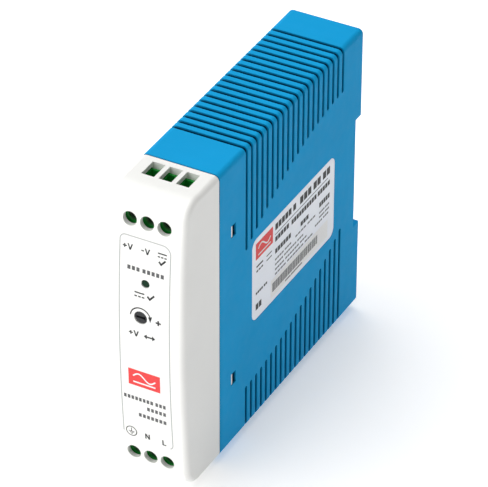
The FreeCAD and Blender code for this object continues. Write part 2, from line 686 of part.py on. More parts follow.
def transformer_winding():
    x, y, z = TRANSFORMER_X, TRANSFORMER_Y, TRANSFORMER_Z
    outer = box(span(x, 6.0), span(y, 6.9), span(z, 4.4))
    outer = round_edges(outer, 1.5, lambda b: b.ZLength > 5)
    return outer.cut(box(span(x, 3.65), span(y, 3.65), span(z, 9)))


def power_package(y, z):
    """A three-legged power package whose metal tab lies against a heat sink on its rear side."""
    body = box((-5.4, 3.4), (y - 4.4, y - TAB_THICKNESS), span(z, PACKAGE_HALF_WIDTH))
    body = round_edges(body, 0.4, lambda b: b.XLength > 8)
    tab = box((-5.4, SINK_TOP_X - 0.2), (y - TAB_THICKNESS, y), span(z, PACKAGE_HALF_WIDTH))
    tab = tab.cut(rod(SINK_SCREW_R + 0.2, (SINK_SCREW_X, y - 3, z), (SINK_SCREW_X, y + 1, z)))
    feet = legs([(y - 2.6, z + step) for step in (-CHIP_PITCH, 0.0, CHIP_PITCH)], -5.2, 0.4)
    return fuse([body, tab] + feet)


def heat_sink(y, z, half_length):
    """A folded aluminium plate that stands on the main board on two tabs."""
    plate_y = (y, y + SINK_THICKNESS)
    plate = box((FLOOR_X + 0.6, SINK_TOP_X), plate_y, span(z, half_length))
    wing = box((SINK_TOP_X - SINK_THICKNESS, SINK_TOP_X), (y, y + 6.0), span(z, half_length))
    tabs = [flat_leg(FLOOR_X + 0.7, plate_y, span(z + side * (half_length - 2), 1.0)) for side in (-1, 1)]
    screw_hole = rod(SINK_SCREW_R + 0.1, (SINK_SCREW_X, y - 1, z), (SINK_SCREW_X, y + 2, z))
    return fuse([plate, wing] + tabs).cut(screw_hole)


def heat_sink_screw(y, z):
    """An M3 pan-head screw that clamps a power package's tab to its heat sink."""
    seat = y - PAD_GAP - TAB_THICKNESS
    head = rod(2.6, (SINK_SCREW_X, seat - 1.8, z), (SINK_SCREW_X, seat, z))
    head = round_edges(head, 0.6, lambda b: b.YMax < seat - 1.79)
    shank = rod(SINK_SCREW_R, (SINK_SCREW_X, seat, z), (SINK_SCREW_X, y + 3.0, z))
    drive_y = (seat - 3, seat - 0.9)
    cross = [box(span(SINK_SCREW_X, a), drive_y, span(z, b)) for a, b in ((1.3, 0.25), (0.25, 1.3))]
    return fuse([head, shank]).cut(cross)


def axial_part(y, z, radius, length):
    x = FLOOR_X + radius + 0.3
    body = rod(radius, (x, y - length / 2, z), (x, y + length / 2, z))
    body = round_edges(body, radius * 0.4, lambda b: b.YLength < 0.01)
    reach = length / 2 + 1.2
    lead = rod(0.3, (x, y - reach, z), (x, y + reach, z))
    return fuse([body, lead] + legs([(y - reach, z), (y + reach, z)], x, 0.3))


def chip(y, z, half_y, half_z, pins):
    body = box((FLOOR_X + 0.5, FLOOR_X + 3.8), span(y, half_y), span(z, half_z))
    rows = []
    for index in range(pins):
        pin_y = y + (index - (pins - 1) / 2) * CHIP_PITCH
        for side in (-1, 1):
            edge = z + side * (half_z + 0.6)
            low, high = sorted((edge, z + side * (half_z - 0.2)))
            rows.append(box((FLOOR_X + 1.8, FLOOR_X + 2.1), span(pin_y, 0.4), (low, high)))
            rows.append(flat_leg(FLOOR_X + 2.1, span(pin_y, 0.25), span(edge, 0.15)))
    return fuse([body] + rows)


def regulator():
    y, z = REGULATOR
    foot = FLOOR_X + 2.5
    barrel = rod(REGULATOR_R, (foot, y, z), (foot + 4.5, y, z))
    flat = box((foot - 1, foot + 6), (y + 1.4, y + 4), span(z, 4))
    feet = legs([(y, z + step) for step in (-CHIP_PITCH / 2, 0.0, CHIP_PITCH / 2)], foot + 0.5, 0.25)
    return fuse([barrel.cut(flat)] + feet)


def inductor_core():
    y, z, foot = INDUCTOR_Y, INDUCTOR_Z, FLOOR_X + 0.4
    top = foot + INDUCTOR_HEIGHT
    flanges = [rod(BOBBIN_FLANGE_R, (x, y, z), (x + INDUCTOR_FLANGE, y, z))
               for x in (foot, top - INDUCTOR_FLANGE)]
    post = rod(BOBBIN_CORE_R, (foot + 1, y, z), (top - 1, y, z))
    return fuse(flanges + [post])


def inductor_winding():
    y, z, foot = INDUCTOR_Y, INDUCTOR_Z, FLOOR_X + 0.4
    low, high = foot + INDUCTOR_FLANGE + 0.1, foot + INDUCTOR_HEIGHT - INDUCTOR_FLANGE - 0.1
    coil = rod(BOBBIN_FLANGE_R - 0.7, (low, y, z), (high, y, z))
    return coil.cut(rod(BOBBIN_CORE_R + 0.05, (low - 1, y, z), (high + 1, y, z)))


def main():
    os.makedirs("parts", exist_ok=True)
    save("case_shell", case_shell())
    save("front_cover", front_cover())
    save("rating_label", rating_label())
    save("din_latch", din_latch())
    save("latch_spring", latch_spring())

    for end, place in (("output", lambda shape: shape), ("input", flip_z)):
        save(end + "_terminal_block", place(terminal_block()))
        save(end + "_contacts", place(contacts()))
        for number, x in enumerate(POLE_X, 1):
            save("%s_screw_%d" % (end, number), place(clamp_screw(x)))
            save("%s_clamp_%d" % (end, number), place(clamp_cage(x)))

    save("front_board", front_board())
    save("board_header", board_header())
    save("header_pins", header_pins())
    save("insulation_sheet", insulation_sheet())
    save("status_led", status_led())
    save("light_guide", light_guide())
    save("trimmer_body", trimmer_body())
    save("trimmer_rotor", trimmer_rotor())

    save("input_fuse", fuse_link())
    save("thermistor", standing_disc(*THERMISTOR, 4.0, 3.2))
    save("varistor", standing_disc(*VARISTOR, 4.2, 3.0))
    save("x_capacitor", film_capacitor(*X_CAPACITOR, X_CAPACITOR_SIZE))
    save("choke_core", choke_core())
    save("choke_windings", choke_windings())
    save("bridge_rectifier", bridge_rectifier())
    save("bulk_capacitor", bulk_capacitor())
    save("bulk_capacitor_leads", bulk_capacitor_leads())
    save("transformer_core", transformer_core())
    save("transformer_bobbin", transformer_bobbin())
    save("transformer_winding", transformer_winding())
    y, z = PRIMARY_SINK
    save("primary_switch", power_package(y - PAD_GAP, z))
    save("primary_heat_sink", heat_sink(y, z, PRIMARY_SINK_HALF))
    y, z = SECONDARY_SINK
    save("output_rectifier", power_package(y - PAD_GAP, z))
    save("secondary_heat_sink", heat_sink(y, z, SECONDARY_SINK_HALF))
    save("heat_sink_screws", Part.makeCompound([heat_sink_screw(*PRIMARY_SINK),
                                                heat_sink_screw(*SECONDARY_SINK)]))
    save("output_capacitors", Part.makeCompound([standing_can(y, OUTPUT_CAPACITOR_Z, *OUTPUT_CAPACITOR_SIZE)
                                                 for y in OUTPUT_CAPACITOR_Y]))
    save("inductor_core", inductor_core())
    save("inductor_winding", inductor_winding())
    save("y_capacitors", Part.makeCompound([standing_disc(y, Y_CAPACITOR_Z, 3.2, 2.6)
                                            for y in Y_CAPACITOR_Y]))
    save("optocoupler", chip(*OPTOCOUPLER, 2.4, 3.3, 2))
    save("controller_chip", chip(*CONTROLLER, 4.9, 3.2, 4))
    save("snubber_resistors", Part.makeCompound([axial_part(SNUBBER_Y, z, 1.3, 6.5) for z in SNUBBER_Z]))
    save("regulator", regulator())
    save("main_board", main_board())


main()
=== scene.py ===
import math

import bmesh
import bpy
from mathutils import Matrix, Vector
from mathutils.bvhtree import BVHTree
from mathutils.geometry import tessellate_polygon


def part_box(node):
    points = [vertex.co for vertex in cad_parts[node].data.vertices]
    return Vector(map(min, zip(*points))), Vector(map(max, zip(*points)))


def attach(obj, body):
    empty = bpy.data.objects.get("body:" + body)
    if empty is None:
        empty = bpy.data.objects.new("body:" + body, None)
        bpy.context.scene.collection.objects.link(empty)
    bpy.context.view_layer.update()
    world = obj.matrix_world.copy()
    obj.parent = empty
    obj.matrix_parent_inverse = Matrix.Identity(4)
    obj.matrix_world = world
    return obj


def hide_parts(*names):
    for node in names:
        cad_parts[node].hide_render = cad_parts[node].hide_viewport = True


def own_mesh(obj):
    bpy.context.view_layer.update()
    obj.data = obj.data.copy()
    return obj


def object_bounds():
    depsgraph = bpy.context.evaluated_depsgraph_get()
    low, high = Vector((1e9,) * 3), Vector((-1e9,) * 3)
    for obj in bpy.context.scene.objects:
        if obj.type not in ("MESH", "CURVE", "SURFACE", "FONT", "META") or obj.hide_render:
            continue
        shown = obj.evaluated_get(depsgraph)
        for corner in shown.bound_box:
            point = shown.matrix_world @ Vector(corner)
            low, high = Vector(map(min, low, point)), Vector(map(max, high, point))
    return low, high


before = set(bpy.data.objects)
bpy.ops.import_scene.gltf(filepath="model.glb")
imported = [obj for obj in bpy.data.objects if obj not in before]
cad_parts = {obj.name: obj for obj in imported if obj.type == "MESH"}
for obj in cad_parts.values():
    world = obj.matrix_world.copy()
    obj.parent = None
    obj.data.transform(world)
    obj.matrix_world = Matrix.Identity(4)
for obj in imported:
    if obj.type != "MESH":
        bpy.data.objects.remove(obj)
cad_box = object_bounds()

MM = 0.001
scene = bpy.context.scene

# ---- camera and studio ----
CAMERA_AZIMUTH = math.radians(28.217)
CAMERA_ELEVATION = math.radians(35.07)
CAMERA_ROLL = math.radians(0.19)
CAMERA_DISTANCE = 945.0 * MM
CAMERA_AIM = Vector((1.04, 1.41, 1.07)) * MM   # from the middle of the CAD box
LENS_MM = 261.24
SENSOR_MM = 36.0
CAMERA_CLIP = (0.05, 20.0)

FLOOR_GAP = 2.3 * MM                           # the open latch reaches 2 mm below the case
FLOOR_SIZE = 6.0
FLOOR_GLOW = (0.39, 0.86)                      # near the object and far away, where the lamps don't reach
GLOW_REACH = (0.45, 1.40)
SKY_STRENGTH = (0.85, 0.08)                    # at the horizon and overhead
HORIZON_BAND = (0.09, 0.20)                    # sines of the heights between which the sky fades
LIGHTS = (
    # name, direction from the object, distance, size, power in watts
    ("overhead_softbox", (-0.36, 0.06, 1.0), 1.30, 1.90, 23.5),
    ("front_softbox", (-0.62, -1.0, 0.45), 1.15, 1.00, 7.4),
)

# ---- printed marks, mm ----
INK_ROOT = 0.03                                # how far the ink starts inside the surface
INK_HEIGHT = 0.03                              # how far it stands out
ON_PANEL = 0.35                                # how much higher a mark on a red panel lies, in layers of ink
ON_PATCH = 0.5                                 # and one on the label's white patch
WAVE_STEPS = 32
WAVE_WIDTH = 0.42
LETTER_HEIGHT = 1.75
MARK_SHIFT_X = -0.3                            # the whole print sits slightly to the left
PRINT_GAP = 0.5                                # between the small print's blocks, as a part of one block
ARROW_R = 2.95                                 # the arrow round the trimmer
OUTLINE_WIDTH = 0.28
OUTLINE_LEFT, OUTLINE_RIGHT = -7.6, 7.1
OUTLINE_TOP, OUTLINE_BOTTOM = 32.45, -31.2
OUTLINE_STEP = 1.5
BAR_WIDTHS = (0.18, 0.36, 0.18, 0.54, 0.27)
BAR_GAPS = (0.22, 0.40, 0.22, 0.30)


# ---- shader building ----
def node(tree, kind, inputs=None, **settings):
    """One shader node; an input may be a number, a colour or another node's output."""
    made = tree.nodes.new(kind)
    for key, value in settings.items():
        setattr(made, key, value)
    for key, value in (inputs or {}).items():
        if isinstance(value, bpy.types.NodeSocket):
            tree.links.new(value, made.inputs[key])
        else:
            made.inputs[key].default_value = value
    return made


def rgba(color, factor=1.0):
    return tuple(min(1.0, c * factor) for c in color) + (1.0,)


def object_point(tree):
    return node(tree, "ShaderNodeTexCoord").outputs["Object"]


def noise(tree, feature, detail=2.0, stretch=(1.0, 1.0, 1.0)):
    """Noise with features of the given size in metres, drawn out along an axis by stretch."""
    scale = [1.0 / (feature * s) for s in stretch]
    mapped = node(tree, "ShaderNodeMapping", {"Vector": object_point(tree), "Scale": scale})
    made = node(tree, "ShaderNodeTexNoise",
                {"Vector": mapped.outputs["Vector"], "Scale": 1.0, "Detail": detail})
    return made.outputs["Fac"]


def remap(tree, value, low, high, source=(0.3, 0.7)):
    made = node(tree, "ShaderNodeMapRange", {"Value": value, "From Min": source[0], "From Max": source[1],
                                             "To Min": low, "To Max": high})
    return made.outputs["Result"]


def math_node(tree, operation, a, b=0.0):
    return node(tree, "ShaderNodeMath", {0: a, 1: b}, operation=operation).outputs[0]


def mix_color(tree, factor, a, b):
    made = node(tree, "ShaderNodeMix", {0: factor, 6: a, 7: b}, data_type="RGBA")
    return made.outputs[2]


def bump(tree, height, depth, strength=1.0, below=None):
    """A bump of the given depth in metres, on top of another bump where one is given."""
    inputs = {"Height": height, "Distance": depth, "Strength": strength}
    if below is not None:
        inputs["Normal"] = below
    return node(tree, "ShaderNodeBump", inputs).outputs["Normal"]


def axis_value(tree, axis):
    parts = node(tree, "ShaderNodeSeparateXYZ", {0: object_point(tree)})
    return parts.outputs["XYZ".index(axis)]


def step_up(tree, value, edge, blur=0.00005):
    """0 below the edge and 1 above it."""
    return remap(tree, value, 0.0, 1.0, (edge - blur, edge + blur))


def facing(tree, axis):
    """1 where the surface faces along the axis, either way, and 0 where it lies along it."""
    normal = node(tree, "ShaderNodeNewGeometry").outputs["Normal"]
    parts = node(tree, "ShaderNodeSeparateXYZ", {0: normal})
    size = math_node(tree, "ABSOLUTE", parts.outputs["XYZ".index(axis)])
    return remap(tree, size, 0.0, 1.0, (0.6, 0.8))


def material(name, specular=0.5, metallic=0.0, **uniform):
    made = bpy.data.materials.new(name)
    made.use_nodes = True
    shader = made.node_tree.nodes["Principled BSDF"]
    shader.inputs["Specular IOR Level"].default_value = specular
    shader.inputs["Metallic"].default_value = metallic
    for key, value in uniform.items():
        shader.inputs[key.replace("_", " ")].default_value = value
    return made, made.node_tree, shader


def wire_up(tree, shader, **sockets):
    for key, value in sockets.items():
        tree.links.new(value, shader.inputs[key.replace("_", " ")])


def plastic(name, color, roughness, specular=0.5, grain=0.25 * MM, depth=0.012 * MM, tone=0.05, shade=None,
            **uniform):
    """Moulded plastic: slow colour drift, fine spark-eroded grain and uneven gloss.

    Shade is a pair: a function that marks where shade is painted into the plastic's colour, and the colour of
    that painted shade."""
    made, tree, shader = material(name, specular, **uniform)
    drift = mix_color(tree, remap(tree, noise(tree, 14 * MM), 0.0, 1.0), rgba(color, 1 - tone),
                      rgba(color, 1 + tone))
    speck = remap(tree, noise(tree, grain * 0.8, 3.0), 0.0, 0.35)
    surface = mix_color(tree, speck, drift, rgba(color, 1 - tone * 1.5))
    if shade:
        place, dark = shade
        # painted shade: the colour turns to the shade colour where the mask is 1
        surface = mix_color(tree, place(tree), surface, rgba(dark))
    gloss = remap(tree, noise(tree, 3 * MM, 4.0), roughness - 0.06, roughness + 0.06)
    waves = bump(tree, noise(tree, 9 * MM), 0.03 * MM, 0.35)
    wire_up(tree, shader, Base_Color=surface, Roughness=gloss,
            Normal=bump(tree, noise(tree, grain, 2.0), depth, 0.8, waves))
    return made


def metal(name, color, roughness, drawn=(1.0, 1.0, 1.0), stain=0.12):
    """Plated or drawn metal with fine tool lines and a little dulling."""
    made, tree, shader = material(name, metallic=1.0)
    dull = mix_color(tree, remap(tree, noise(tree, 1.2 * MM, 4.0), 0.0, 1.0), rgba(color),
                     rgba(color, 1 - stain))
    lines = noise(tree, 0.06 * MM, 3.0, drawn)
    wire_up(tree, shader, Base_Color=dull, Roughness=remap(tree, lines, roughness - 0.08, roughness + 0.12),
            Normal=bump(tree, lines, 0.006 * MM, 0.6))
    return made


def ink(name, color, roughness=0.55):
    """Pad-printed ink: slightly uneven density and a soft edge to its gloss."""
    made, tree, shader = material(name, 0.35)
    density = mix_color(tree, remap(tree, noise(tree, 0.35 * MM, 4.0), 0.0, 1.0), rgba(color),
                        rgba([c * 0.88 + 0.012 for c in color]))
    wire_up(tree, shader, Base_Color=density,
            Roughness=remap(tree, noise(tree, 0.5 * MM), roughness - 0.07, roughness + 0.07),
            Normal=bump(tree, noise(tree, 0.12 * MM, 3.0), 0.004 * MM, 0.6))
    return made


def label_film(name):
    """Silver-white polyester film with a fine metallic fleck."""
    made, tree, shader = material(name, 0.5, metallic=0.05, Coat_Weight=0.25, Coat_Roughness=0.3)
    fleck = remap(tree, noise(tree, 0.08 * MM, 2.0), 0.0, 1.0)
    base = mix_color(tree, fleck, (0.78, 0.82, 0.90, 1), (0.86, 0.89, 0.95, 1))
    broad = remap(tree, noise(tree, 18 * MM), 0.0, 0.4)
    wire_up(tree, shader, Base_Color=mix_color(tree, broad, base, (0.90, 0.92, 0.96, 1)),
            Roughness=remap(tree, noise(tree, 2 * MM, 3.0), 0.34, 0.48),
            Normal=bump(tree, noise(tree, 0.1 * MM, 2.0), 0.003 * MM, 0.5))
    return made


def board_laminate(name):
    """Green solder mask over copper tracks, with bare glass-epoxy on the cut edges."""
    made, tree, shader = material(name, 0.5, Coat_Weight=0.35, Coat_Roughness=0.2)
    cells = node(tree, "ShaderNodeTexVoronoi", {"Vector": object_point(tree), "Scale": 1 / (3.2 * MM)},
                 distance="CHEBYCHEV", feature="F2")
    tracks = remap(tree, cells.outputs["Distance"], 0.0, 1.0, (0.52, 0.56))
    mask = mix_color(tree, tracks, (0.012, 0.11, 0.045, 1), (0.03, 0.20, 0.075, 1))
    weave = remap(tree, noise(tree, 0.3 * MM, 2.0, (1.0, 6.0, 1.0)), 0.0, 1.0)
    edge = mix_color(tree, weave, (0.42, 0.36, 0.18, 1), (0.58, 0.50, 0.28, 1))
    face = math_node(tree, "MAXIMUM", facing(tree, "X"), facing(tree, "Y"))
    wire_up(tree, shader, Base_Color=mix_color(tree, face, edge, mask),
            Roughness=remap(tree, noise(tree, 1.5 * MM), 0.25, 0.4),
            Normal=bump(tree, tracks, 0.03 * MM, 0.7))
    return made


def sleeved_can(name, sleeve, axis, top):
    """A capacitor: printed shrink sleeve round an aluminium can whose end is bare."""
    made, tree, shader = material(name, 0.5)
    along = axis_value(tree, axis)
    bare = step_up(tree, along, top)
    stripes = node(tree, "ShaderNodeTexWave", {"Vector": object_point(tree), "Scale": 1 / (22 * MM)},
                   bands_direction="Y")
    print_band = remap(tree, stripes.outputs["Fac"], 0.0, 0.55, (0.90, 0.93))
    sleeve_color = mix_color(tree, print_band, rgba(sleeve), (0.55, 0.58, 0.62, 1))
    wire_up(tree, shader, Base_Color=mix_color(tree, bare, sleeve_color, (0.72, 0.73, 0.74, 1)),
            Metallic=bare, Roughness=remap(tree, noise(tree, 0.8 * MM, 3.0), 0.24, 0.38),
            Normal=bump(tree, noise(tree, 2.5 * MM), 0.03 * MM, 0.5))
    return made


FUSE_CAP = 3.0 * MM                            # length of each metal cap


def fuse_glass(name, low, high):
    """A glass tube between two plated caps."""
    made, tree, shader = material(name, 0.5)
    along = axis_value(tree, "Y")
    first = math_node(tree, "SUBTRACT", 1.0, step_up(tree, along, low.y + FUSE_CAP))
    caps = math_node(tree, "MAXIMUM", first, step_up(tree, along, high.y - FUSE_CAP))
    glass = math_node(tree, "SUBTRACT", 1.0, caps)
    wire_up(tree, shader, Base_Color=mix_color(tree, caps, (0.86, 0.92, 0.90, 1), (0.78, 0.77, 0.74, 1)),
            Metallic=caps, Transmission_Weight=math_node(tree, "MULTIPLY", glass, 0.8),
            Roughness=remap(tree, noise(tree, 0.5 * MM, 3.0), 0.08, 0.22),
            Normal=bump(tree, noise(tree, 1.5 * MM), 0.02 * MM, 0.4))
    return made


def banded(name, color, dark, axis, pitch, roughness, metallic=0.0, specular=0.5, depth=0.05 * MM):
    """Tape or wire laid in turns along an axis."""
    made, tree, shader = material(name, specular, metallic=metallic)
    bands = node(tree, "ShaderNodeTexWave", {"Vector": object_point(tree), "Scale": 1 / (pitch * 20),
                                            "Distortion": 0.4, "Detail": 1.0},
                 bands_direction=axis, wave_profile="SIN").outputs["Fac"]
    shade = mix_color(tree, bands, rgba(dark), rgba(color))
    drift = mix_color(tree, remap(tree, noise(tree, 2 * MM, 3.0), 0.0, 0.3), shade, rgba(dark))
    wire_up(tree, shader, Base_Color=drift,
            Roughness=remap(tree, noise(tree, 0.6 * MM, 2.0), roughness - 0.05, roughness + 0.08),
            Normal=bump(tree, bands, depth, 0.8))
    return made


def coated(name, color, roughness=0.3):
    """A dipped coating: lumpy, glossy and a little uneven in colour."""
    made, tree, shader = material(name, 0.5, Coat_Weight=0.2, Coat_Roughness=0.15)
    body = mix_color(tree, remap(tree, noise(tree, 1.8 * MM, 3.0), 0.0, 1.0), rgba(color, 0.85),
                     rgba(color, 1.12))
    wire_up(tree, shader, Base_Color=body,
            Roughness=remap(tree, noise(tree, 0.9 * MM, 2.0), roughness - 0.06, roughness + 0.1),
            Normal=bump(tree, noise(tree, 1.3 * MM, 2.0), 0.05 * MM, 0.6))
    return made


def sintered(name, color):
    """Pressed ferrite: matt, with pores and a little sparkle."""
    made, tree, shader = material(name, 0.5)
    pores = noise(tree, 0.12 * MM, 4.0)
    wire_up(tree, shader, Base_Color=mix_color(tree, remap(tree, pores, 0.0, 1.0), rgba(color, 0.7),
                                              rgba(color, 1.35)),
            Roughness=remap(tree, noise(tree, 0.4 * MM, 2.0), 0.42, 0.6),
            Normal=bump(tree, pores, 0.02 * MM, 0.7))
    return made


def tinted_clear(name, color, weight, specular=0.5):
    """Clear tinted plastic with faint flow lines."""
    made, tree, shader = material(name, specular, Transmission_Weight=weight, IOR=1.49)
    wire_up(tree, shader,
            Base_Color=mix_color(tree, remap(tree, noise(tree, 0.8 * MM, 2.0), 0.0, 1.0),
                                 rgba(color, 0.85), rgba(color, 1.1)),
            Roughness=remap(tree, noise(tree, 0.5 * MM), 0.08, 0.2),
            Normal=bump(tree, noise(tree, 0.7 * MM), 0.01 * MM, 0.5))
    return made


def film(name, color):
    """Thin electrical-grade insulation with a calendered surface."""
    made, tree, shader = material(name, 0.4)
    wire_up(tree, shader, Base_Color=mix_color(tree, remap(tree, noise(tree, 5 * MM, 3.0), 0.0, 1.0),
                                              rgba(color, 0.9), rgba(color, 1.05)),
            Roughness=remap(tree, noise(tree, 0.8 * MM, 2.0), 0.4, 0.55),
            Normal=bump(tree, noise(tree, 0.3 * MM, 2.0, (1.0, 1.0, 4.0)), 0.01 * MM, 0.6))
    return made


# ---- node finishes ----
CASE_BLUE = (0.0060, 0.335, 0.680)
COVER_WHITE = (0.88, 0.88, 0.855)
TERMINAL_GREEN = (0.004, 0.27, 0.026)
PAINTED_SLOT_SHADE = (0.0004, 0.022, 0.062)                  # painted shade inside the case's slots, windows and front rim
SKIRT_SHADE = (0.004, 0.030, 0.060)            # painted shade in the joint between case and cover
WELL_SHADE = (0.001, 0.035, 0.005)             # painted shade down the terminals' screw wells

CASE_EDGE_R = 1.5 * MM
RIM_Y = -77.0 * MM                             # where the case meets the cover
REAR_EDGE_Y = -1.5 * MM                        # behind this the case isn't shaded
SLOT_SHADE = (0.08 * MM, 0.75 * MM)            # depths under its sides where shade starts and is full
SKIRT_SPAN = (-0.42 * MM, 3.0 * MM)            # the shaded part of the cover's skirt, from the rim
WELL_SPAN = (-92.45 * MM, -91.3 * MM)          # from a terminal's front to where the painted shade in its well is full
WELL_TOP = 39.8 * MM                           # the wire windows start above this height


def slot_shade_mask(tree):
    """Mask of the painted shade: 0 on the case's outer sides and 1 inside its slots, windows and front rim.
    """
    half_x, half_z = cad_box[1].x - CASE_EDGE_R, cad_box[1].z - CASE_EDGE_R
    over_x = math_node(tree, "SUBTRACT", math_node(tree, "ABSOLUTE", axis_value(tree, "X")), half_x)
    over_z = math_node(tree, "SUBTRACT", math_node(tree, "ABSOLUTE", axis_value(tree, "Z")), half_z)
    corner = node(tree, "ShaderNodeCombineXYZ", {"X": math_node(tree, "MAXIMUM", over_x, 0.0),
                                                 "Y": math_node(tree, "MAXIMUM", over_z, 0.0)})
    past = node(tree, "ShaderNodeVectorMath", {0: corner.outputs[0]}, operation="LENGTH").outputs["Value"]
    within = math_node(tree, "MINIMUM", math_node(tree, "MAXIMUM", over_x, over_z), 0.0)
    distance = math_node(tree, "ADD", past, within)
    deep = remap(tree, distance, 1.0, 0.0, (CASE_EDGE_R - SLOT_SHADE[1], CASE_EDGE_R - SLOT_SHADE[0]))
    ahead = math_node(tree, "SUBTRACT", 1.0, step_up(tree, axis_value(tree, "Y"), REAR_EDGE_Y))
    return math_node(tree, "MULTIPLY", deep, ahead)


def well_shade(tree):
    """1 inside the terminals' screw wells, where shade is painted, 0 on their front and in the wire windows.
    """
    inside = remap(tree, axis_value(tree, "Y"), 0.0, 1.0, WELL_SPAN)
    height = math_node(tree, "ABSOLUTE", axis_value(tree, "Z"))
    below = math_node(tree, "SUBTRACT", 1.0, step_up(tree, height, WELL_TOP))
    return math_node(tree, "MULTIPLY", inside, below)


def skirt_shade(tree):
    """1 on the part of the cover that lies just behind the joint with the case, where shade is painted."""
    along = axis_value(tree, "Y")
    behind = step_up(tree, along, RIM_Y + SKIRT_SPAN[0])
    return math_node(tree, "SUBTRACT", behind, step_up(tree, along, RIM_Y + SKIRT_SPAN[1]))


def dress(names, finish):
    for name in names:
        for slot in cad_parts[name].material_slots:
            slot.material = finish


def per_pole(pattern):
    return [pattern % (end, number) for end in ("output", "input") for number in (1, 2, 3)]


def dress_nodes():
    # the case's slots, windows and front rim get painted navy shade, set by position
    dress(["case_shell"], plastic("case_blue_plastic", CASE_BLUE, 0.55, 0.05, 0.28 * MM, 0.014 * MM, 0.03,
                                  (slot_shade_mask, PAINTED_SLOT_SHADE)))
    dress(["front_cover"], plastic("cover_white_plastic", COVER_WHITE, 0.46, 0.3, 0.24 * MM, 0.010 * MM,
                                   0.012, (skirt_shade, SKIRT_SHADE)))
    dress(["rating_label"], label_film("label_silver_film"))
    dress(["din_latch"], plastic("latch_black_plastic", (0.03, 0.03, 0.034), 0.42, 0.4, depth=0.014 * MM,
                                 tone=0.15))
    dress(["output_terminal_block", "input_terminal_block"],
          plastic("terminal_green_plastic", TERMINAL_GREEN, 0.32, 0.5, depth=0.006 * MM, tone=0.1,
                  shade=(well_shade, WELL_SHADE)))
    dress(["output_contacts", "input_contacts"], metal("tinned_brass", (0.80, 0.78, 0.70), 0.28, (1, 1, 8)))
    dress(per_pole("%s_screw_%d"), metal("screw_zinc_plate", (0.66, 0.64, 0.58), 0.24, stain=0.25))
    dress(per_pole("%s_clamp_%d"), metal("clamp_zinc_plate", (0.70, 0.70, 0.68), 0.3, (8, 1, 1)))
    dress(["main_board", "front_board"], board_laminate("green_board"))
    dress(["board_header"], plastic("header_black_plastic", (0.035, 0.035, 0.037), 0.4, tone=0.12))
    dress(["header_pins"], metal("pin_tin", (0.82, 0.80, 0.74), 0.25, (1, 1, 8)))
    dress(["insulation_sheet"], film("insulation_film", (0.70, 0.66, 0.50)))
    dress(["status_led"], tinted_clear("led_green_lens", (0.03, 0.50, 0.16), 0.35))
    dress(["light_guide"], tinted_clear("light_guide_green", (0.001, 0.028, 0.010), 0.05, 0.12))
    dress(["trimmer_body"], plastic("trimmer_blue_plastic", (0.03, 0.12, 0.38), 0.35, tone=0.08))
    dress(["trimmer_rotor"], plastic("rotor_grey_plastic", (0.020, 0.021, 0.024), 0.40, 0.3, 0.18 * MM,
                                     0.008 * MM, 0.1))
    dress(["input_fuse"], fuse_glass("fuse_glass_and_caps", *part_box("input_fuse")))
    dress(["thermistor"], coated("thermistor_green", (0.05, 0.16, 0.10)))
    dress(["varistor"], coated("varistor_blue", (0.04, 0.17, 0.50)))
    dress(["y_capacitors"], coated("y_capacitor_blue", (0.05, 0.26, 0.58), 0.35))
    dress(["x_capacitor"], plastic("film_capacitor_yellow", (0.78, 0.58, 0.07), 0.35, tone=0.06))
    dress(["choke_core", "transformer_core", "inductor_core"], sintered("ferrite_grey", (0.075, 0.075, 0.08)))
    dress(["choke_windings"], metal("enamelled_copper", (0.72, 0.30, 0.10), 0.22, stain=0.3))
    dress(["inductor_winding"], banded("wound_copper", (0.72, 0.30, 0.10), (0.30, 0.10, 0.03), "X",
                                       0.6 * MM, 0.25, metallic=1.0))
    dress(["bridge_rectifier", "primary_switch", "output_rectifier", "optocoupler", "controller_chip",
           "regulator"], plastic("chip_black_epoxy", (0.035, 0.035, 0.037), 0.5, tone=0.15))
    dress(["bulk_capacitor"], sleeved_can("bulk_can_sleeve", (0.035, 0.04, 0.085), "Z",
                                          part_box("bulk_capacitor")[1].z - 0.25 * MM))
    dress(["output_capacitors"], sleeved_can("output_can_sleeve", (0.02, 0.05, 0.035), "X",
                                             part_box("output_capacitors")[1].x - 0.25 * MM))
    dress(["bulk_capacitor_leads"], metal("lead_tin", (0.80, 0.79, 0.75), 0.25))
    dress(["transformer_bobbin"], plastic("bobbin_black_plastic", (0.05, 0.05, 0.05), 0.45, tone=0.1))
    dress(["transformer_winding"], banded("yellow_polyester_tape", (0.86, 0.66, 0.08), (0.66, 0.46, 0.04),
                                          "Z", 2.2 * MM, 0.25))
    dress(["primary_heat_sink", "secondary_heat_sink"], metal("mill_aluminium", (0.72, 0.73, 0.74), 0.36,
                                                             (1, 1, 12)))
    dress(["heat_sink_screws"], metal("screw_nickel", (0.70, 0.69, 0.66), 0.25))
    dress(["snubber_resistors"], banded("resistor_lacquer", (0.42, 0.52, 0.58), (0.24, 0.10, 0.06), "Y",
                                        1.8 * MM, 0.35, depth=0.01 * MM))


# ---- flat shapes, in mm ----
def arc(x, y, radius, start, end, count):
    """Points along a circular arc, angles in degrees."""
    angles = [math.radians(start + (end - start) * i / count) for i in range(count + 1)]
    return [(x + radius * math.cos(a), y + radius * math.sin(a)) for a in angles]


def block(x0, y0, x1, y1):
    return [(x0, y0), (x1, y0), (x1, y1), (x0, y1)]


def fine_line(points, step):
    """The same line with points no further apart than step."""
    made = [points[0]]
    for (x0, y0), (x1, y1) in zip(points, points[1:]):
        count = max(1, math.ceil(math.hypot(x1 - x0, y1 - y0) / step))
        made += [(x0 + (x1 - x0) * i / count, y0 + (y1 - y0) * i / count) for i in range(1, count + 1)]
    return made


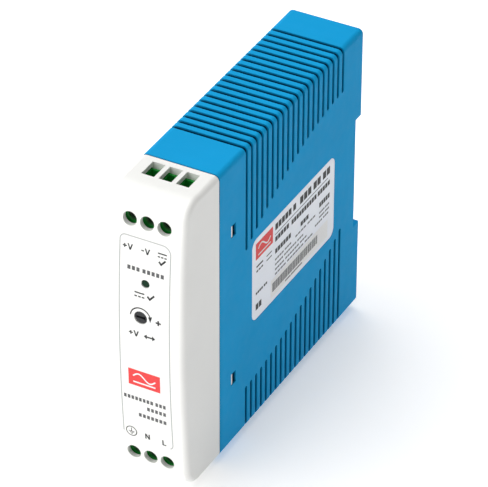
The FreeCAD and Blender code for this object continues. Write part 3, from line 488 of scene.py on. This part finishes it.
GLYPHS = {
    # outlines in a box one high, with its width
    "V": (0.90, [(0, 1), (0.22, 1), (0.45, 0.32), (0.68, 1), (0.90, 1), (0.56, 0), (0.34, 0)]),
    "N": (0.82, [(0, 0), (0, 1), (0.24, 1), (0.60, 0.39), (0.60, 1), (0.82, 1), (0.82, 0), (0.58, 0),
                 (0.22, 0.61), (0.22, 0)]),
    "L": (0.66, [(0, 0), (0, 1), (0.22, 1), (0.22, 0.19), (0.66, 0.19), (0.66, 0)]),
    "+": (0.66, [(0, 0.40), (0, 0.60), (0.23, 0.60), (0.23, 0.83), (0.43, 0.83), (0.43, 0.60), (0.66, 0.60),
                 (0.66, 0.40), (0.43, 0.40), (0.43, 0.17), (0.23, 0.17), (0.23, 0.40)]),
    "-": (0.44, [(0, 0.40), (0, 0.60), (0.44, 0.60), (0.44, 0.40)]),
}
LETTER_GAP = 0.12


def letters(text, x, y, height):
    """Outlines of a short mark, centred on x and y."""
    width = sum(GLYPHS[c][0] for c in text) + LETTER_GAP * (len(text) - 1)
    left = x - width * height / 2
    made = []
    for character in text:
        step, outline = GLYPHS[character]
        made.append([(left + u * height, y + (v - 0.5) * height) for u, v in outline])
        left += (step + LETTER_GAP) * height
    return made


def small_print(words, left, right, y, height, gap=0.26):
    """A row of plain blocks that stand for printed words: one block per letter, fitted between two ends."""
    space = gap + 0.5
    cells = sum(words)
    units = cells + gap * (cells - len(words)) + space * (len(words) - 1)
    cell = (right - left) / units
    made = []
    x = left
    for count in words:
        for index in range(count):
            made.append(block(x, y - height / 2, x + cell, y + height / 2))
            x += cell * (1 + gap)
        x += cell * (space - gap)
    return made


def direct_current_sign(x, y, width, height):
    """The usual sign for direct current: a line above three dashes."""
    bar = height * 0.26
    dash = width * 0.26
    made = [block(x - width / 2, y + height / 2 - bar, x + width / 2, y + height / 2)]
    for index in range(3):
        start = x - width / 2 + index * (width - dash) / 2
        made.append(block(start, y - height / 2, start + dash, y - height / 2 + bar))
    return made


def wave(x, y, length, height):
    """One period of a sine, which stands for alternating current."""
    return [(x + length * i / WAVE_STEPS, y + height * math.sin(math.tau * i / WAVE_STEPS))
            for i in range(WAVE_STEPS + 1)]


def tick_sign(x, y, size):
    points = [(-0.50, 0.02), (-0.34, 0.20), (-0.12, -0.06), (0.36, 0.50), (0.52, 0.34), (-0.12, -0.40)]
    return [[(x + u * size, y + v * size) for u, v in points]]


# ---- printed pieces ----
def add_plate(bm, loops, place):
    """A closed plate of ink: an outline, and any holes in it, from the surface out."""
    triangles = tessellate_polygon([[Vector((u, v, 0.0)) for u, v in loop] for loop in loops])
    flat = [point for loop in loops for point in loop]
    low = [bm.verts.new(place(u, v, 0.0)) for u, v in flat]
    high = [bm.verts.new(place(u, v, 1.0)) for u, v in flat]
    for a, b, c in triangles:
        bm.faces.new((high[a], high[b], high[c]))
        bm.faces.new((low[c], low[b], low[a]))
    start = 0
    for loop in loops:
        for index in range(len(loop)):
            a = start + index
            b = start + (index + 1) % len(loop)
            bm.faces.new((low[a], low[b], high[b], high[a]))
        start += len(loop)


def add_ribbon(bm, points, width, place, closed=False):
    """A closed strip of ink of even width along a line, mitred at its bends."""
    count = len(points)
    rings = []
    for index, (x, y) in enumerate(points):
        before = points[index - 1] if index or closed else None
        after = points[(index + 1) % count] if index < count - 1 or closed else None
        runs = []
        if before:
            runs.append(Vector((x - before[0], y - before[1])).normalized())
        if after:
            runs.append(Vector((after[0] - x, after[1] - y)).normalized())
        along = sum(runs, Vector((0.0, 0.0))).normalized()
        across = Vector((-along.y, along.x)) * (width / 2 / max(0.3, along.dot(runs[0])))
        left, right = (x + across.x, y + across.y), (x - across.x, y - across.y)
        rings.append([bm.verts.new(place(*side, level))
                      for side, level in ((left, 0.0), (right, 0.0), (right, 1.0), (left, 1.0))])
    pairs = list(zip(rings, rings[1:])) + ([(rings[-1], rings[0])] if closed else [])
    for a, b in pairs:
        for i in range(4):
            bm.faces.new((a[i], a[(i + 1) % 4], b[(i + 1) % 4], b[i]))
    if not closed:
        bm.faces.new(rings[0])
        bm.faces.new(reversed(rings[-1]))


def piece(name, bm, finish, body):
    bmesh.ops.recalc_face_normals(bm, faces=bm.faces)
    mesh = bpy.data.meshes.new(name)
    bm.to_mesh(mesh)
    bm.free()
    mesh.materials.append(finish)
    made = bpy.data.objects.new(name, mesh)
    scene.collection.objects.link(made)
    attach(made, body)
    return made


def printed(name, finish, place, plates=(), ribbons=(), body="case"):
    """One printed mark: filled outlines and lines (points, width, closed)."""
    bm = bmesh.new()
    for outline in plates:
        loops = outline if isinstance(outline[0], list) else [outline]
        add_plate(bm, loops, place)
    for points, width, closed in ribbons:
        add_ribbon(bm, points, width, place, closed)
    return piece(name, bm, finish, body)


cover_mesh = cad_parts["front_cover"].data
cover_tree = BVHTree.FromPolygons([v.co for v in cover_mesh.vertices],
                                  [tuple(p.vertices) for p in cover_mesh.polygons])


def on_front(x, z, level):
    """A point on the bowed front, from just inside its surface to the ink's outer face."""
    start = Vector((x * MM, cad_box[0].y - 10 * MM, z * MM))
    hit = cover_tree.ray_cast(start, Vector((0.0, 1.0, 0.0)))[0]
    return Vector((hit.x, hit.y + (INK_ROOT - level * (INK_ROOT + INK_HEIGHT)) * MM, hit.z))


label_low, label_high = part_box("rating_label")


def on_label(u, v, level):
    """A point on the rating label: u from its front edge, v from its middle height."""
    out = (-INK_ROOT + level * (INK_ROOT + INK_HEIGHT)) * MM
    return Vector((label_high.x + out, label_low.y + u * MM, (label_low.z + label_high.z) / 2 + v * MM))


def centre(name):
    low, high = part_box(name)
    return (low + high) / 2 / MM


def front_print(black, dark, grey, red, white):
    pole_x = [centre("output_screw_%d" % n).x + MARK_SHIFT_X for n in (1, 2, 3)]
    screw_z = centre("output_screw_1").z
    led = centre("light_guide")
    trimmer = centre("trimmer_rotor")
    mark_z = screw_z - 8.1

    outline = (arc(OUTLINE_LEFT + 1.6, OUTLINE_TOP - 1.6, 1.6, 180, 90, 8)
               + arc(OUTLINE_RIGHT - 2.4, OUTLINE_TOP - 2.4, 2.4, 90, 0, 10))
    hook = arc(OUTLINE_RIGHT - 1.6, OUTLINE_BOTTOM + 0.6, 1.6, 0, -60, 6)
    path = fine_line([(OUTLINE_LEFT, OUTLINE_BOTTOM + 0.6)] + outline + hook, OUTLINE_STEP)
    printed("front_outline_print", grey, on_front, ribbons=[(path, OUTLINE_WIDTH, False)])

    printed("plus_voltage_mark", black, on_front, letters("+V", pole_x[0], mark_z, LETTER_HEIGHT))
    printed("minus_voltage_mark", black, on_front, letters("-V", pole_x[1] + 0.2, mark_z, LETTER_HEIGHT))
    printed("ready_contact_mark", black, on_front,
            direct_current_sign(pole_x[2], mark_z + 0.2, 2.6, 1.4) + tick_sign(pole_x[2], mark_z - 2.0, 2.2))
    printed("output_rating_print", dark, on_front,
            small_print([3, 5], pole_x[0], pole_x[2] + 0.6, screw_z - 14.1, 1.2, PRINT_GAP))

    signal_z = led.z - 3.8
    printed("status_lamp_mark", black, on_front,
            direct_current_sign(led.x - 1.7, signal_z, 2.9, 1.5) + tick_sign(led.x + 1.6, signal_z, 2.3))

    turn = arc(trimmer.x, trimmer.z, ARROW_R, 176, 20, 24)
    tip = arc(trimmer.x, trimmer.z, ARROW_R, 20, 2, 1)
    printed("adjust_arrow_mark", black, on_front,
            plates=[[(tip[1][0] - 0.1, tip[1][1] - 0.75), (tip[0][0] + 0.62, tip[0][1] + 0.3),
                     (tip[0][0] - 0.55, tip[0][1] - 0.1)]],
            ribbons=[(turn, 0.34, False)])
    printed("adjust_plus_mark", black, on_front, letters("+", trimmer.x + 5.2, trimmer.z, 2.3))

    adjust_z = trimmer.z - 5.4
    arrow_x = trimmer.x + 2.6
    shaft, barb = 0.22, 0.75                       # half the height of the shaft and of the heads
    head, reach = 0.8, 1.7                         # from the middle to a head's base and to its tip
    printed("adjust_voltage_mark", black, on_front, letters("+V", trimmer.x - 2.0, adjust_z, LETTER_HEIGHT)
            + [[(arrow_x - reach, adjust_z), (arrow_x - head, adjust_z + barb),
                (arrow_x - head, adjust_z + shaft), (arrow_x + head, adjust_z + shaft),
                (arrow_x + head, adjust_z + barb), (arrow_x + reach, adjust_z),
                (arrow_x + head, adjust_z - barb), (arrow_x + head, adjust_z - shaft),
                (arrow_x - head, adjust_z - shaft), (arrow_x - head, adjust_z - barb)]])

    printed("red_panel_print", red, on_front, [block(-5.3, -13.75, 4.1, -8.5)])
    printed("red_panel_symbol", white, lambda x, z, level: on_front(x, z, level + ON_PANEL),
            plates=[block(-3.9, -12.75, 2.7, -12.3)],
            ribbons=[(wave(-3.9, -10.7, 6.6, 1.05), WAVE_WIDTH, False)])

    low_z = centre("input_screw_1").z
    for name, words, left, right, up in (("input_rating_print_1", [8, 3], -6.9, 5.5, 19.2),
                                         ("input_rating_print_2", [5], -0.1, 5.5, 16.7),
                                         ("input_rating_print_3", [7], -2.7, 5.5, 13.9)):
        printed(name, dark, on_front, small_print(words, left, right, low_z + up, 1.15, PRINT_GAP))

    input_z = low_z + 7.0
    printed("neutral_mark", black, on_front, letters("N", pole_x[1] - 0.2, input_z, LETTER_HEIGHT))
    printed("line_mark", black, on_front, letters("L", pole_x[2] - 0.2, input_z - 0.3, LETTER_HEIGHT))
    earth_x, earth_z = pole_x[0], input_z + 0.2
    bars = [([(earth_x - half, earth_z + up), (earth_x + half, earth_z + up)], 0.2, False)
            for half, up in ((0.85, -0.1), (0.55, -0.5), (0.25, -0.9))]
    printed("earth_mark", black, on_front,
            ribbons=[(arc(earth_x, earth_z, 1.55, 0, 345, 23), 0.24, True),
                     ([(earth_x, earth_z + 1.1), (earth_x, earth_z - 0.1)], 0.22, False)] + bars)


def label_print(black, grey, red, white):
    left_edge, right_edge = 12.9, 44.4             # of the text beside the red panel
    title_v = 13.0 - 2.9
    printed("label_red_panel", red, on_label, [block(2.0, 6.1, 11.5, 11.3)])
    printed("label_red_symbol", white, lambda u, v, level: on_label(u, v, level + ON_PANEL),
            plates=[block(3.3, 7.0, 10.2, 7.4)],
            ribbons=[(wave(3.3, 9.2, 6.9, 1.0), WAVE_WIDTH, False)])
    printed("label_title_print", black, on_label,
            small_print([5, 1], left_edge, 24.6, title_v, 2.0)
            + small_print([3, 2, 2], 27.0, right_edge, title_v, 2.3))
    printed("label_title_rule", black, on_label, [block(12.7, 7.75, 43.2, 7.95)])
    printed("label_row_prints", black, on_label,
            small_print([5], left_edge, 20.6, 6.2, 1.5) + small_print([10, 5], 22.2, right_edge, 6.0, 1.5)
            + small_print([6], left_edge, 21.8, 2.3, 1.5) + small_print([3], 27.5, 32.0, 2.2, 1.4)
            + small_print([5], 38.4, right_edge, 1.8, 1.5))
    rows = [(left_edge, 22.0, -0.4), (left_edge, 29.0, -2.0), (left_edge, 31.0, -3.6),
            (left_edge, 34.5, -5.1), (24.5, 36.0, 0.0), (38.4, 44.2, -0.8), (38.4, 44.2, -2.2),
            (36.0, 43.8, -3.6)]
    printed("label_fine_print", grey, on_label,
            [b for left, right, v in rows
             for b in small_print([4, 6, 3] if right - left > 12 else [4, 3], left, right, v, 0.55)])
    printed("label_side_print", black, on_label,
            direct_current_sign(4.2, 3.0, 3.6, 2.0) + [block(8.0, 3.6, 11.0, 3.9), block(8.0, 2.2, 11.0, 2.5)]
            + small_print([4, 2], 2.1, 8.4, -4.8, 0.7) + small_print([2], 2.1, 5.2, -9.2, 1.9))
    printed("label_white_patch", white, on_label, [block(10.6, -11.6, 43.5, -5.9)])

    # bars of no code: their widths and gaps only take turns
    bars = []
    u = 11.4
    index = 0
    while u < 37.2:
        width = BAR_WIDTHS[index * index % len(BAR_WIDTHS)]
        bars.append(block(u, -10.0, u + width, -7.2))
        u += width + BAR_GAPS[(index * 3) % len(BAR_GAPS)]
        index += 1
    printed("label_barcode_print", black, lambda u, v, level: on_label(u, v, level + ON_PATCH), bars)
    printed("label_serial_print", grey, lambda u, v, level: on_label(u, v, level + ON_PATCH),
            small_print([4, 8], 18.8, 28.4, -10.9, 0.5))


# ---- latch spring ----
SPRING_WIRE_R = 0.17 * MM
SPRING_MEAN_R = 1.05 * MM
SPRING_CLOSED = 0.9                            # turns that lie closed at either end
SPRING_LAY = 2.1                               # rise of a closed turn, in wire radii
SPRING_ACTIVE = 7.0
COIL_STEPS = 28                                # points on each turn
WIRE_SIDES = 10


def latch_coil():
    """A compression spring with closed ends, made at the length of the CAD spring's box."""
    low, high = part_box("latch_spring")
    middle = (low + high) / 2
    bottom, top = low.z + SPRING_WIRE_R, high.z - SPRING_WIRE_R
    closed_rise = SPRING_LAY * SPRING_WIRE_R * SPRING_CLOSED
    turns = SPRING_ACTIVE + 2 * SPRING_CLOSED
    count = round(turns * COIL_STEPS)
    path = []
    for index in range(count + 1):
        turn = turns * index / count
        active = min(max(turn - SPRING_CLOSED, 0.0), SPRING_ACTIVE) / SPRING_ACTIVE
        ends = min(turn, SPRING_CLOSED) + max(turn - SPRING_CLOSED - SPRING_ACTIVE, 0.0)
        rise = closed_rise * ends / SPRING_CLOSED + (top - bottom - 2 * closed_rise) * active
        angle = math.tau * turn
        path.append(Vector((middle.x + SPRING_MEAN_R * math.cos(angle),
                            middle.y + SPRING_MEAN_R * math.sin(angle), bottom + rise)))
    bm = bmesh.new()
    rings = []
    for index, point in enumerate(path):
        along = (path[min(index + 1, count)] - path[max(index - 1, 0)]).normalized()
        out = (point - Vector((middle.x, middle.y, point.z))).normalized()
        side = along.cross(out).normalized()
        out = side.cross(along)
        angles = [math.tau * k / WIRE_SIDES for k in range(WIRE_SIDES)]
        rings.append([bm.verts.new(point + (out * math.cos(a) + side * math.sin(a)) * SPRING_WIRE_R)
                      for a in angles])
    for a, b in zip(rings, rings[1:]):
        for k in range(WIRE_SIDES):
            face = bm.faces.new((a[k], a[(k + 1) % WIRE_SIDES], b[(k + 1) % WIRE_SIDES], b[k]))
            face.smooth = True
    bm.faces.new(rings[0])
    bm.faces.new(reversed(rings[-1]))
    coil = piece("latch_spring_coil", bm, metal("spring_wire_steel", (0.60, 0.60, 0.61), 0.25), "case")
    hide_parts("latch_spring")
    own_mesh(coil)


# ---- studio ----
def make_floor():
    low = cad_box[0]
    bm = bmesh.new()
    bmesh.ops.create_grid(bm, x_segments=8, y_segments=8, size=FLOOR_SIZE / 2)
    mesh = bpy.data.meshes.new("studio_floor")
    bm.to_mesh(mesh)
    bm.free()
    made = bpy.data.objects.new("studio_floor", mesh)
    made.location.z = low.z - FLOOR_GAP
    scene.collection.objects.link(made)
    finish, tree, shader = material("floor_paper", 0.2, Emission_Color=(1.0, 1.0, 1.0, 1.0))
    away = node(tree, "ShaderNodeVectorMath", {0: object_point(tree)}, operation="LENGTH").outputs["Value"]
    tint = mix_color(tree, remap(tree, noise(tree, 0.4, 2.0), 0.0, 1.0), (0.86, 0.86, 0.865, 1),
                     (0.88, 0.88, 0.88, 1))
    wire_up(tree, shader, Base_Color=tint, Roughness=remap(tree, noise(tree, 0.02, 3.0), 0.6, 0.7),
            Emission_Strength=remap(tree, away, *FLOOR_GLOW, GLOW_REACH))
    mesh.materials.append(finish)


def make_lights(middle):
    world = bpy.data.worlds.new("studio_sky")
    scene.world = world
    world.use_nodes = True
    sky = world.node_tree.nodes["Background"]
    sky.inputs["Color"].default_value = (1.0, 1.0, 1.0, 1.0)
    direction = node(world.node_tree, "ShaderNodeTexCoord").outputs["Generated"]
    height = node(world.node_tree, "ShaderNodeSeparateXYZ", {0: direction}).outputs["Z"]
    world.node_tree.links.new(remap(world.node_tree, height, *SKY_STRENGTH, HORIZON_BAND),
                              sky.inputs["Strength"])
    for name, direction, distance, size, power in LIGHTS:
        lamp = bpy.data.lights.new(name, "AREA")
        lamp.shape = "SQUARE"
        lamp.size = size
        lamp.energy = power
        made = bpy.data.objects.new(name, lamp)
        away = Vector(direction).normalized()
        made.location = middle + away * distance
        made.rotation_euler = away.to_track_quat("Z", "Y").to_euler()
        scene.collection.objects.link(made)


def make_camera(middle):
    data = bpy.data.cameras.new("studio_camera")
    data.sensor_width = SENSOR_MM
    data.lens = LENS_MM
    data.clip_start, data.clip_end = CAMERA_CLIP
    made = bpy.data.objects.new("studio_camera", data)
    level = math.cos(CAMERA_ELEVATION)
    back = Vector((level * math.sin(CAMERA_AZIMUTH), -level * math.cos(CAMERA_AZIMUTH),
                   math.sin(CAMERA_ELEVATION)))
    turned = back.to_track_quat("Z", "Y").to_matrix() @ Matrix.Rotation(CAMERA_ROLL, 3, "Z")
    made.rotation_euler = turned.to_euler()
    made.location = middle + CAMERA_AIM + back * CAMERA_DISTANCE
    scene.collection.objects.link(made)
    scene.camera = made


def main():
    middle = (cad_box[0] + cad_box[1]) / 2
    scene.view_settings.view_transform = "Standard"
    make_camera(middle)
    make_lights(middle)
    make_floor()
    dress_nodes()
    latch_coil()
    black = ink("ink_black", (0.018, 0.018, 0.02))
    dark = ink("ink_dark_grey", (0.10, 0.10, 0.105))
    grey = ink("ink_grey", (0.16, 0.16, 0.17))
    line_grey = ink("ink_light_grey", (0.46, 0.46, 0.46))
    red = ink("ink_red", (0.83, 0.045, 0.045))
    white = ink("ink_white", (0.88, 0.88, 0.88))
    front_print(black, dark, line_grey, red, white)
    label_print(black, grey, red, white)


main()
